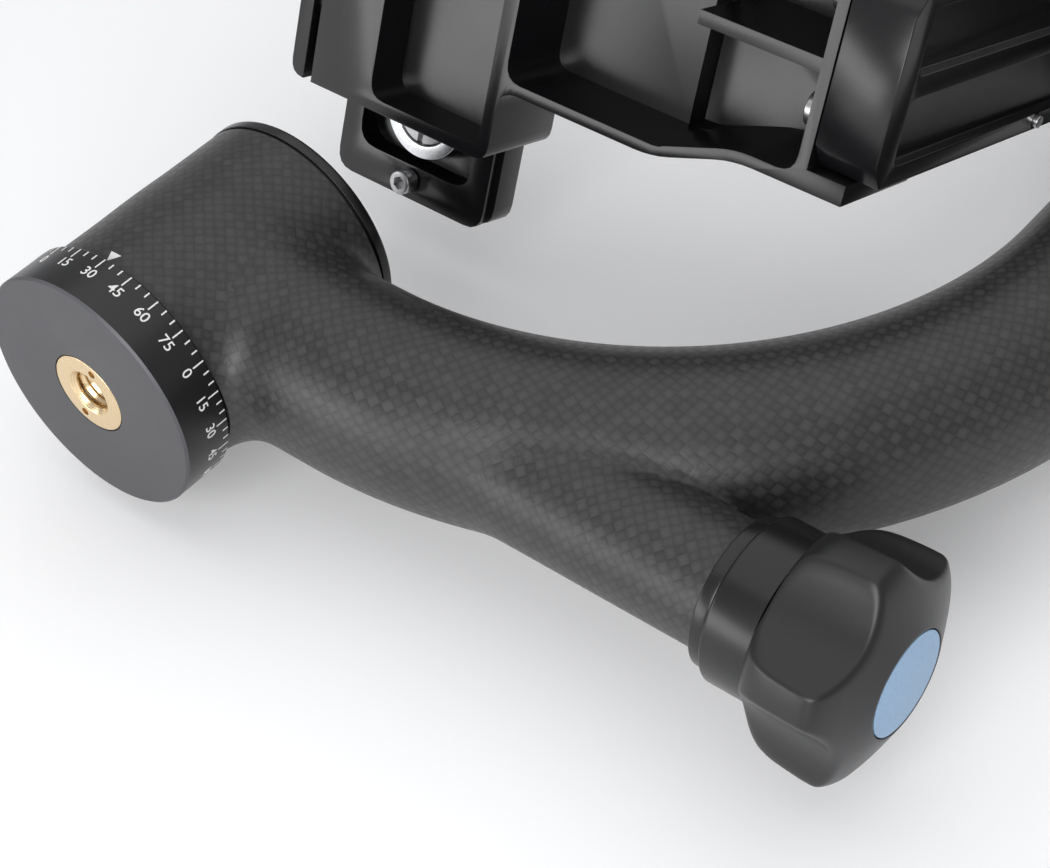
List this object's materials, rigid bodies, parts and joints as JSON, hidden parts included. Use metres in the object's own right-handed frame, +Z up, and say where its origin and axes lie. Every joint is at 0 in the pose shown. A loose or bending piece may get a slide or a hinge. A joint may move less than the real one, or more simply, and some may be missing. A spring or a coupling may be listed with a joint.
{
  "type": "gimbal tripod head",
  "caption": "Side-mount gimbal head: turning dial base, hollow J-shaped carbon arm, swinging post with platform clamp and sliding lens plate.",
  "frame": {"origin": "centre of the flat face of the dial base that rests on the tripod, on the pan axis", "axes": "+Z up along the pan axis; +X from the pan axis towards the tilt axle's side of the arm, along the tilt axis; +Y to the side"},
  "size_m": [0.2796, 0.1586, 0.317],
  "materials": {
    "dial_metal": "satin dark grey anodised, fine turned end face",
    "brass": "polished turned brass",
    "steel": "machined stainless steel",
    "bright_steel": "bright satin steel",
    "carbon": "satin carbon fibre, fine plain weave",
    "black_metal": "satin black anodised, turned",
    "anodised": "satin black anodised, milled",
    "knob_plastic": "fine-textured matt black",
    "blue_disc": "satin light blue",
    "rubber": "matt ribbed rubber"
  },
  "bodies": {
    "base": {"base_dial": "dial_metal", "brass_insert": "brass", "pan_spindle": "steel", "spindle_screw_1": "steel", "spindle_screw_2": "steel", "spindle_screw_3": "steel", "brake_sleeve": "steel", "spindle_washer": "steel", "spindle_nut": "steel"},
    "arm": {"carbon_arm": "carbon", "pan_liner": "black_metal", "drum_cap": "black_metal", "pan_bearing_lower": "steel", "pan_bearing_upper": "steel", "hub_liner": "black_metal", "hub_inner_ring": "black_metal", "hub_cap": "black_metal", "tilt_bearing_inner": "steel", "tilt_bearing_outer": "steel", "pan_collar": "black_metal", "tilt_collar": "black_metal"},
    "pan_brake": {"pan_brake_pad": "rubber"},
    "pan_lock": {"pan_lock_rod": "steel", "pan_knob_sleeve": "black_metal", "pan_knob": "knob_plastic", "pan_knob_disc": "blue_disc"},
    "tilt_brake": {"tilt_brake_pad": "rubber"},
    "tilt_lock": {"tilt_lock_rod": "steel", "tilt_knob_sleeve": "black_metal", "tilt_knob": "knob_plastic", "tilt_knob_disc": "blue_disc"},
    "swing": {"tilt_axle": "steel", "axle_sleeve": "steel", "axle_nut": "steel", "axle_screw_1": "steel", "axle_screw_2": "steel", "axle_screw_3": "steel", "rail_carriage": "anodised", "carriage_gib": "brass"},
    "height_lock": {"height_lock_screw": "steel", "height_knob": "knob_plastic"},
    "bracket": {"post": "anodised", "height_stop_upper": "steel", "height_stop_lower": "steel", "platform": "anodised", "post_screw_1": "steel", "post_screw_2": "steel", "jaw_pin_1": "steel", "jaw_pin_2": "steel"},
    "jaw": {"clamp_jaw": "anodised"},
    "clamp_lock": {"clamp_screw": "steel", "clamp_knob": "knob_plastic"},
    "plate": {"lens_plate": "anodised", "grip_pad_1": "rubber", "grip_pad_2": "rubber", "stop_screw_1": "steel", "stop_screw_2": "steel"},
    "carrier": {"screw_carrier": "steel"},
    "camera_lock": {"camera_screw": "steel", "screw_ring": "bright_steel"}
  },
  "joints": [
    {"name": "pan_turn", "type": "hinge", "parent": "base", "child": "arm", "pos_m": [0, 0, 0], "axis": [0, 0, -1], "continuous": true},
    {"name": "pan_knob_turn", "type": "hinge", "parent": "pan_brake", "child": "pan_lock", "pos_m": [0, 0, 0.0364], "axis": [1, 0, 0], "range_deg": [0, 180]},
    {"name": "pan_brake_slide", "type": "slide", "parent": "arm", "child": "pan_brake", "axis": [1, 0, 0], "range_m": [0, 0.0005]},
    {"name": "tilt_turn", "type": "hinge", "parent": "arm", "child": "swing", "pos_m": [0, 0, 0.268], "axis": [1, 0, 0], "continuous": true},
    {"name": "tilt_knob_turn", "type": "hinge", "parent": "tilt_brake", "child": "tilt_lock", "pos_m": [0, 0, 0.268], "axis": [1, 0, 0], "range_deg": [0, 180]},
    {"name": "tilt_brake_slide", "type": "slide", "parent": "arm", "child": "tilt_brake", "axis": [1, 0, 0], "range_m": [0, 0.0005]},
    {"name": "height_knob_turn", "type": "hinge", "parent": "swing", "child": "height_lock", "pos_m": [0.1185, 0, 0.268], "axis": [0, -0.9272, 0.3746], "range_deg": [0, 180]},
    {"name": "height_slide", "type": "slide", "parent": "swing", "child": "bracket", "axis": [0, 0.3746, 0.9272], "range_m": [-0.003, 0.054]},
    {"name": "jaw_slide", "type": "slide", "parent": "bracket", "child": "jaw", "axis": [-1, 0, 0], "range_m": [0, 0.0035]},
    {"name": "clamp_knob_turn", "type": "hinge", "parent": "jaw", "child": "clamp_lock", "pos_m": [-0.036, -0.05675, 0.12753], "axis": [-1, 0, 0], "range_deg": [0, 630]},
    {"name": "plate_slide", "type": "slide", "parent": "bracket", "child": "plate", "axis": [0, 0.9272, -0.3746], "range_m": [-0.016, 0.0125]},
    {"name": "carrier_slide", "type": "slide", "parent": "plate", "child": "carrier", "axis": [0, 0.9272, -0.3746], "range_m": [-0.1, 0.001]},
    {"name": "camera_screw_turn", "type": "hinge", "parent": "carrier", "child": "camera_lock", "pos_m": [-0.0015, 0.05035, 0.24766], "axis": [0, 0.3746, 0.9272], "continuous": true}
  ],
  "couplings": [
    {"joint": "pan_knob_turn", "follows": "pan_brake_slide", "rad_per_m": 6283.2},
    {"joint": "tilt_knob_turn", "follows": "tilt_brake_slide", "rad_per_m": 6283.2},
    {"joint": "clamp_knob_turn", "follows": "jaw_slide", "rad_per_m": 3141.6}
  ]
}
